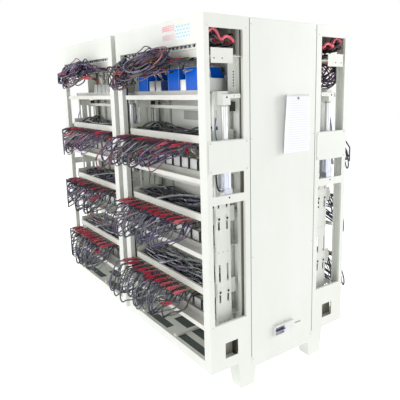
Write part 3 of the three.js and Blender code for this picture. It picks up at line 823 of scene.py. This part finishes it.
def large_cell(piece, u, d, z):
    wide, deep, tall = 115.0, 150.0, 117.0
    left, right = u - wide / 2, u + wide / 2
    piece.box((left, right), (d, d + deep), (z, z + tall - 3), "blue")
    piece.box((left + 1, right - 1), (d + 1, d + deep - 1), (z + tall - 4, z + tall - 0.6), "clear")
    # Lighter strips at both front edges: folded film with a painted highlight.
    for k in (-1, 1):
        edge = u + k * (wide / 2 - 3)
        piece.box((edge - 2.2, edge + 2.2), (d - 0.5, d + 1), (z + 3, z + tall - 5), "blue_edge_highlight")
    for at in LARGE_TERMINALS:
        piece.box((u - 17, u + 17), (d + at - 15, d + at + 15), (z + tall - 1, z + tall + 2), "hole")
        piece.rod((u, d + at, z + tall), (u, d + at, z + tall + 10), 7, "nickel")
        piece.rod((u, d + at, z + tall + 3), (u, d + at, z + tall + 7), 10, "nickel", 6)
    piece.rod((u - 36, d + 75, z + tall - 1), (u - 36, d + 75, z + tall + 1), 8, "nickel")


LARGE_CELLS = [-280, 60, 235]
SMALL_ON_TOP = [-182, -110, 147, 345]
CLOSE_CELLS = [-30 + 66 * i for i in range(6)]


def cell_places():
    first = CELL_SHIFT - CELL_PITCH * (CELLS_IN_ROW - 1) / 2
    return [first + CELL_PITCH * i for i in range(CELLS_IN_ROW)]


def cells_on(rack, level):
    """The places of the small and the large cells on a level."""
    if level < LEVELS - 1:
        return cell_places(), []
    if not rack.front:
        return [], []
    return (SMALL_ON_TOP, LARGE_CELLS) if rack.near else (CLOSE_CELLS, [])


def cells(rack, level):
    small, large = cells_on(rack, level)
    if not small:
        return
    z = SHELF_TOPS[level] - SEAT_BELOW_TOP
    piece = Piece()
    for u in large:
        large_cell(piece, u, LARGE_FRONT, z)
    for u in small:
        small_cell(piece, u, SMALL_FRONT, z)
    row = piece.make(f"{rack.label}_cell_row_{level + 1}", rack.matrix, rack.lift, "cell_can", 1.4)
    if rack.front:
        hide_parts(f"{rack.label}_cells_{level + 1}")


LEAST_ROOM = 30
HUNG_CLIP = 0.46
STANDING_CLIP = 0.62
LARGE_TOP = 127
SMALL_TOP = 65


def cell_clips(rack, level):
    """Small clips on the cells, and their wires up to the tray.

    They stand on the terminals. On the tall cells they hang on the front edge, clear of the tray.
    """
    rng = random.Random(500 + 10 * RACKS.index(rack) + level)
    z = SHELF_TOPS[level] - SEAT_BELOW_TOP
    floor = RAIL_TOPS[level] - RAIL_HEIGHT
    clips, wires = Piece(), Piece()
    small, large = cells_on(rack, level)
    if not small:
        return
    feet = [(u, LARGE_FRONT + at, z + LARGE_TOP) for u in large for at in LARGE_TERMINALS]
    feet += [(u, SMALL_FRONT + at, z + SMALL_TOP) for u in small for at in SMALL_TERMINALS]
    for number, foot in enumerate(feet):
        room = floor - foot[2] - LIFT_TRAVEL
        if room < LEAST_ROOM:
            foot = (foot[0] + (14 if foot[1] > 150 else -14), LARGE_FRONT - 1, foot[2] - 22)
            tilt = (rng.uniform(-0.5, 0.5), -0.85, -0.3)
            size = HUNG_CLIP
        else:
            tilt = (rng.uniform(-0.3, 0.3), rng.uniform(-0.75, -0.25), 0.8)
            size = min(STANDING_CLIP, room / 90)
        handle = ["red", "black_handle", "nickel", "green"][number % 4 if rng.random() < 0.7 else 2]
        jaw = rng.choice(["nickel", "nickel", "brass"])
        end, out = add_clip(clips, foot, tilt, handle, jaw, size, 1.1, (0, 1, 0.1))
        slot = clear_of_tabs(foot[0] + rng.uniform(-20, 20))
        middle = (end + (slot, SLOT_DEPTH, floor - 6)) / 2 + (rng.uniform(-12, 12), -8, -6)
        points = [end, end + out * 8, middle, (slot, SLOT_DEPTH, floor - 6),
                  (slot, SLOT_DEPTH + 2, floor + 2), (slot + 9, 80, floor + 6)]
        colour = rng.choice(["green", "slate", "pale", "black", "brown", "purple"])
        wires.tube(smooth_path(points, 8), 1.6, colour, 7)
    clips.make(f"{rack.label}_cell_clips_{level + 1}", rack.matrix, rack.lift, "clip_black")
    wire = wires.make(f"{rack.label}_cell_wires_{level + 1}", rack.matrix, None, "lead_jacket")
    rack.at((0, 0, z + 75))
    rack.at((0, 0, floor - 8))
    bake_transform(wire)


# ---------- details on the racks ----------


def dome(piece, centre, axis, radius, finish, tall=2.0):
    """A screw or pin head on a face, standing out along axis."""
    axis = np.array(axis, float)
    at = np.array(centre, float)
    steps = [(-0.8, 1.0), (0.4, 1.0), (0.75, 0.8), (1.0, 0.3)]
    line = [at + axis * tall * s for s, _ in steps]
    piece.tube(line, [radius * r for _, r in steps], finish, 12)


PIN_DEPTHS = (103, 152)
HEADER_BLOCKS = 20
BLOCK_PITCH = 37.2


def rack_details(rack):
    """Blocks below the header, screws, pins, black hole marks and dark strips and plates, fixed or on the
    lift. The hole marks, strips and plates are painted shade of holes, gaps and recesses.
    """
    fixed, moving = Piece(), Piece()
    for number in range(HEADER_BLOCKS):
        u = -354 + BLOCK_PITCH * number
        fixed.box((u - 8, u + 8), (29, 36), (1575, 1590), "pale" if number % 3 else "frame")
    fixed.box((-TRAY_HALF, TRAY_HALF), (27.5, 28.6), (1567.5, 1576), "frame")
    for side in (-1, 1):
        out = (side, 0, 0)
        for d in (22, 232):
            for z in (1012, 1143):
                dome(fixed, (side * 460.8, d, z), out, 3.4, "steel")
        fixed.slab(side, (401, 403.2), (168, 213.7), (1335, 1545), "frame")
        # These six hole marks, like the others below, are black discs: painted shade of the holes.
        for i in range(6):
            dome(fixed, (side * 403.1, 200, 1402 + 13 * i), out, 3.8, "hole", 0.6)
        # A dark plate under the lift's link: painted shade of the opening there.
        fixed.slab(side, (400, 402), (177, 211), (1283, 1328), "shade")
        # A backing and an edge strip behind the square hole near the foot of the end plate: painted shade of
        # its inside.
        fixed.slab(side, (418, 420), (60, 200), (40, 160), "recess_shade")
        fixed.slab(side, (421, 452), (157, 165), (45, 152), "shade")
        for d in (55, 100):
            dome(fixed, (side * 454.3, d, 1522), out, 3.2, "hole", 0.6)
        # Strips beside the rear post and on the core wall next to it: painted shade of the gap between them.
        fixed.slab(side, (425.7, 428), (217, 254.6), (60, 1700), "recess_shade")
        fixed.slab(side, (428.2, 454), (252.6, 254.6), (60, 1700), "recess_shade")
        dome(fixed, (side * 457.6, 126, 881), out, 4.5, "hole", 0.6)
        for d, z in ((20, 1660), (235, 1660), (14, 1148), (222, 1146), (14, 246), (222, 246)):
            dome(fixed, (side * 457.5, d, z), out, 2.6, "steel", 1.4)
        for level in range(LEVELS - 1):
            for d in (98, 125, 152):
                dome(moving, (side * 399, d, SHELF_TOPS[level] - 22), out, 3.2, "steel")
            for d in PIN_DEPTHS:
                z = RAIL_TOPS[level] - 28
                fixed.rod((side * 399.3, d, z), (side * 401.6, d, z), 12, "frame", 20)
                dome(fixed, (side * 402, d, z), out, 6.4, "hole", 2.0)
        dome(moving, (side * 452.2, 124, 1350), out, 4.6, "hole", 1.0)
        for d in (166, 190):
            dome(moving, (side * 452.2, d, 1355), out, 2.2, "hole", 0.6)
    core_wall_details(fixed)
    fixed.make(f"{rack.label}_fixings", rack.matrix, "root", "screw_steel")
    moving.make(f"{rack.label}_lift_fixings", rack.matrix, rack.lift, "screw_steel")


CYLINDER_U = 428
CYLINDER_D = 127
CYLINDER_Z = (895, 1150)
CLAMP_Z = (1040, 1120)
COVER_Z = (1003, 1152)
BEAM = (178, 203)
BLOCK_Z = 1315
BLOCK_END = 452
COLUMN_FACE = 399.5
ROD = 14


GROOVED_SIDE = [(1, -0.62), (1, -0.16), (0.80, -0.13), (0.80, 0.13), (1, 0.16), (1, 0.62), (0.86, 0.86)]


def groove_ring(u, d, z, half):
    """A rounded square section with a groove in the middle of each side."""
    ring = []
    for quarter in range(4):
        turn = math.radians(90 * quarter)
        side = [(half * a, half * b) for a, b in GROOVED_SIDE]
        c, s = math.cos(turn), math.sin(turn)
        for a, b in side:
            ring.append((u + a * c - b * s, d + a * s + b * c, z))
    return np.array(ring)


def lift_drive(rack):
    """The air cylinders with their cover plates and air beam, and the rods with the blocks they lift."""
    fixed, moving = Piece(), Piece()
    low, high = CYLINDER_Z
    fixed.box((-CYLINDER_U, CYLINDER_U), BEAM, (low - 22, low), "frame")
    moving.box((-CYLINDER_U, CYLINDER_U), BEAM, (BLOCK_Z + 30, BLOCK_Z + 50), "frame")
    for side in (-1, 1):
        u, d = side * CYLINDER_U, CYLINDER_D
        fixed.rings([groove_ring(u, d, z, 21.5) for z in (low + 27, high - 27)], "alloy")
        for z0, z1 in ((low, low + 28), (high - 28, high)):
            fixed.box((u - 23, u + 23), (d - 23, d + 23), (z0, z1), "alloy_cap")
        fixed.box((u - 23, u + 23), (d - 23, BEAM[1]), (low - 8, low + 0.4), "frame")
        fixed.slab(side, (CYLINDER_U, 458), (d - 20, d + 20), CLAMP_Z, "alloy_cap")
        fixed.slab(side, (457.8, 460.8), (10, 240), COVER_Z, "frame")
        for a in (-17, 17):
            for b in (-17, 17):
                fixed.rod((u + a, d + b, high - 0.5), (u + a, d + b, high + 3), 4.2, "steel", 6)
        fixed.rod((u, d, high - 1), (u, d, high + 6), 17, "alloy", 24)
        add_air_tubes(fixed, u, d, side)
        moving.rod((u, d, high + 0.5), (u, d, BLOCK_Z + 4), ROD, "chrome", 28)
        moving.rod((u, d, BLOCK_Z - 9), (u, d, BLOCK_Z + 1), 17, "steel", 6)
        moving.slab(side, (COLUMN_FACE, BLOCK_END), (101, 145), (BLOCK_Z, BLOCK_Z + 48), "frame")
        moving.slab(side, (COLUMN_FACE, 436), (103, 143), (BLOCK_Z + 47, BLOCK_Z + 62), "frame")
        moving.slab(side, (COLUMN_FACE, BLOCK_END), (144, BEAM[1]), (BLOCK_Z + 30, BLOCK_Z + 50), "frame")
    drive = fixed.make(f"{rack.label}_cylinder_set", rack.matrix, "root", "cylinder_alloy", 1.0)
    rods = moving.make(f"{rack.label}_rod_set", rack.matrix, rack.lift, "bright_rod", 1.0)
    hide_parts(f"{rack.label}_lift_cylinders")
    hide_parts(f"{rack.label}_lift_rods")


def add_air_tubes(piece, u, d, side):
    """Fittings at both ports of a cylinder, and the tubes that curve up from them."""
    for z, finish in ((910, "black"), (1136, "tube")):
        piece.rod((u, d - 24, z), (u, d - 34, z), 6, "steel", 6)
        out = d - 40
        tube = [(u, d - 33, z), (u - side * 2, out, z + 6), (u - side * 8, out - 6, z + 30),
                (u - side * 17, out - 4, z + 78), (u - side * 22, out + 6, z + 120)]
        piece.tube(smooth_path(tube, 8), 4.2 if z < 1000 else 3.0, finish, 10)


PANEL_HEIGHTS = [(60, 400), (450, 770), (820, 1140), (1190, 1530)]
PANEL_SPANS = [(-374, -328), (-272, 268), (330, 376)]
VENT_BOTTOMS = [150, 520, 890, 1224]


def core_wall_details(piece):
    """Panels and slatted vents on the core's wall behind the shelves. The panels carry painted light: a coat
    lighter than the core's own.
    """
    wall = CORE_WALL - 0.3
    for tall in PANEL_HEIGHTS:
        for wide in PANEL_SPANS:
            piece.box(wide, (wall - 2.4, wall + 0.2), tall, "wall")
    for z0 in VENT_BOTTOMS:
        piece.box((-135, 29), (wall - 3.6, wall - 2), (z0, z0 + 50), "vent")
        for i in range(9):
            piece.box((-131, 25), (wall - 4.6, wall - 3), (z0 + 3 + 5.2 * i, z0 + 5.2 + 5.2 * i), "vent")


def gap_seals():
    """Dark strips inside the side plates next to the slot between the cabinets, front right and back left:
    painted shade in the slot.
    """
    low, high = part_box("front_left_rack_frame")
    plate = -high.x / MM
    face = low.y / MM
    piece = Piece()
    for way in (-1, 1):
        x = sorted((way * (plate + 0.3), way * (plate + 7)))
        y = sorted((way * (face + 60), way * (face + 18)))
        piece.box(x, y, (165, 1850), "gap_shade")
    piece.make("gap_seals", Matrix.Scale(MM, 4), "root", "lead_jacket")


PAN_OPENINGS = [(97, 397, 22, 72), (-275, -20, 22, 72), (-100, 397, 110, 215)]


def pan_and_seams(rack):
    """Filter mats below the pan's openings, and the sealing strips along the joint with the core."""
    piece = Piece()
    for u0, u1, d0, d1 in PAN_OPENINGS:
        piece.box((u0 - 4, u1 + 4), (d0 - 4, d1 + 4), (36, 46.4), "mat")
    for side in (-1, 1):
        piece.slab(side, (455.5, 457.9), (253.4, 257.2), (4, 1706), "seal")
    piece.make(f"{rack.label}_mats_and_seals", rack.matrix, "root", "lead_jacket")


LABELS = [((100, 212), (1662, 1686), "pink_label"), ((100, 212), (1620, 1645), "mauve_label"),
          ((224, 348), (1648, 1677), "sky_label"), ((224, 348), (1617, 1646), "sky_label")]


def stickers(rack):
    """Plain coloured film labels on the header."""
    piece = Piece()
    for wide, tall, finish in LABELS:
        piece.box(wide, (-0.6, 0.1), tall, finish)
    piece.make(f"{rack.label}_labels", rack.matrix, "root", "label_film")


# ---------- cores ----------


def core_details(hand, outer):
    """Screws, a small slot drawn as a dark plate of painted shade, and the breaker's small parts on a core's
    end panel.
    """
    low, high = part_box(f"{hand}_core_end_panel")
    face = high.x if outer > 0 else low.x
    breaker_out = 18.3
    piece = Piece()

    def x(out):
        return (face / MM) + outer * out

    def plate(out0, out1, y, z, finish):
        piece.box(sorted((x(out0), x(out1))), y, z, finish)

    for y in (-215, 215):
        for z in (140, 700, 1300, 1830):
            dome(piece, (x(0), y, z), (outer, 0, 0), 3.0, "steel", 1.4)
    for y, z in ((10, 288), (6, 212)):
        dome(piece, (x(0), y, z), (outer, 0, 0), 3.2, "steel", 1.6)
    # The small slot is a dark grey plate: painted shade of the slot's inside.
    plate(0, 2.2, (90, 132), (244, 249), "grey_and_slot_shade")
    for i in range(3):
        y = -4 + 23 * i
        plate(breaker_out - 0.5, breaker_out + 0.8, (y, y + 19), (229, 272), "housing")
        plate(breaker_out + 0.4, breaker_out + 1.6, (y + 6, y + 13), (244, 258), "clear")
    for y in (-58, -46, -34, -22):
        dome(piece, (x(8.6), y, 236), (outer, 0, 0), 2.4, "steel", 0.9)
    piece.make(f"{hand}_end_details", Matrix.Scale(MM, 4), "root", "screw_steel")


SHEET_WIDE = 0.21
SHEET_TALL = 0.297


def paper_sheet():
    """A plain sheet hung on the right end panel by a magnet, its left edge curling off the steel."""
    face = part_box("right_core_end_panel")[1].x + 0.0006
    across, down = 22, 24
    start_y, top = -0.030, 1.505
    curl_from, radius = 0.068, 0.060
    points, faces = [], []
    for j in range(down + 1):
        z = top - SHEET_TALL * j / down
        for i in range(across + 1):
            s = SHEET_WIDE * i / across
            back = max(0.0, curl_from * (1 - 0.25 * j / down) - s)
            turn = back / radius
            y = start_y + s + (back - radius * math.sin(turn))
            lift = radius * (1 - math.cos(turn))
            points.append((face + lift + 0.0008 * math.sin(9 * z * 3 + s * 40), y, z))
    for j in range(down):
        for i in range(across):
            a = j * (across + 1) + i
            faces.append((a, a + across + 1, a + across + 2, a + 1))
    sheet = new_object("notice_sheet", points, faces, [M["paper"]])
    thick = sheet.modifiers.new("thickness", "SOLIDIFY")
    thick.thickness = 0.0002
    thick.offset = 1
    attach(sheet, "root")
    magnet = Piece()
    dome(magnet, (face / MM, 96, 1487), (1, 0, 0), 7, "grey_and_slot_shade", 5)
    button = magnet.make("sheet_magnet", Matrix.Scale(MM, 4), "root", "clip_black")


# ---------- stage ----------


def make_stage():
    half = 14.0
    corners = [(-half, -half, 0), (half, -half, 0), (half, half, 0), (-half, half, 0)]
    look = Look("studio_floor", (0.80, 0.80, 0.80), 0.7, Emission_Color=(1, 1, 1, 1), Emission_Strength=0.68)
    look.tint(look.noise(Scale=1.5, Detail=2.0), [(0.3, (0.79, 0.79, 0.79)), (0.7, (0.81, 0.81, 0.81))])
    new_object("floor", corners, [(0, 1, 2, 3)], [look.material])


def area_light(name, place, target, size, power):
    data = bpy.data.lights.new(name, "AREA")
    data.shape = "RECTANGLE"
    data.size, data.size_y = size
    data.energy = power
    light = bpy.data.objects.new(name, data)
    light.location = place
    light.rotation_mode = "QUATERNION"
    light.rotation_quaternion = (Vector(target) - Vector(place)).to_track_quat("-Z", "Y")
    link(light)


def make_world():
    """Even studio light, with a white backdrop where nothing stands before it."""
    world = bpy.data.worlds.new("studio")
    world.use_nodes = True
    nodes, links = world.node_tree.nodes, world.node_tree.links
    light = nodes["Background"]
    light.inputs["Color"].default_value = (1.0, 1.0, 0.995, 1)
    light.inputs["Strength"].default_value = 0.42
    backdrop = nodes.new("ShaderNodeBackground")
    backdrop.inputs["Color"].default_value = (1, 1, 1, 1)
    seen = nodes.new("ShaderNodeLightPath")
    mix = nodes.new("ShaderNodeMixShader")
    links.new(seen.outputs["Is Camera Ray"], mix.inputs["Fac"])
    links.new(light.outputs["Background"], mix.inputs[1])
    links.new(backdrop.outputs["Background"], mix.inputs[2])
    links.new(mix.outputs["Shader"], nodes["World Output"].inputs["Surface"])
    bpy.context.scene.world = world


def make_lights():
    """Large soft lights before and behind the racks, weaker ones at two corners, and one above."""
    middle = (0, 0, 1.0)
    area_light("key", (5.2, -3.6, 2.0), middle, (4.4, 3.6), 40)
    area_light("front", (-3.2, -5.0, 2.5), middle, (4.4, 3.0), 160)
    area_light("back_key", (-5.2, 3.6, 2.0), middle, (4.4, 3.6), 40)
    area_light("back", (3.2, 5.0, 2.5), middle, (4.4, 3.0), 160)
    area_light("top", (0, 0, 7.5), middle, (6.0, 6.0), 55)
    scene = bpy.context.scene
    scene.view_settings.view_transform = "Standard"
    scene.view_settings.look = "None"


# ---------- the whole ----------

for rack in RACKS:
    for level in range(LEVELS):
        hanging_leads(rack, level)
for rack in RACKS:
    for level in range(LEVELS):
        tray_bundle(rack, level)
        cells(rack, level)
        cell_clips(rack, level)
    lift_drive(rack)
    end_hoses(rack)
    pan_and_seams(rack)
    rack_details(rack)
stickers(RACKS[0])
gap_seals()
core_details("right", 1)
core_details("left", -1)
paper_sheet()
finish_cad_nodes()
make_stage()
make_world()
make_lights()
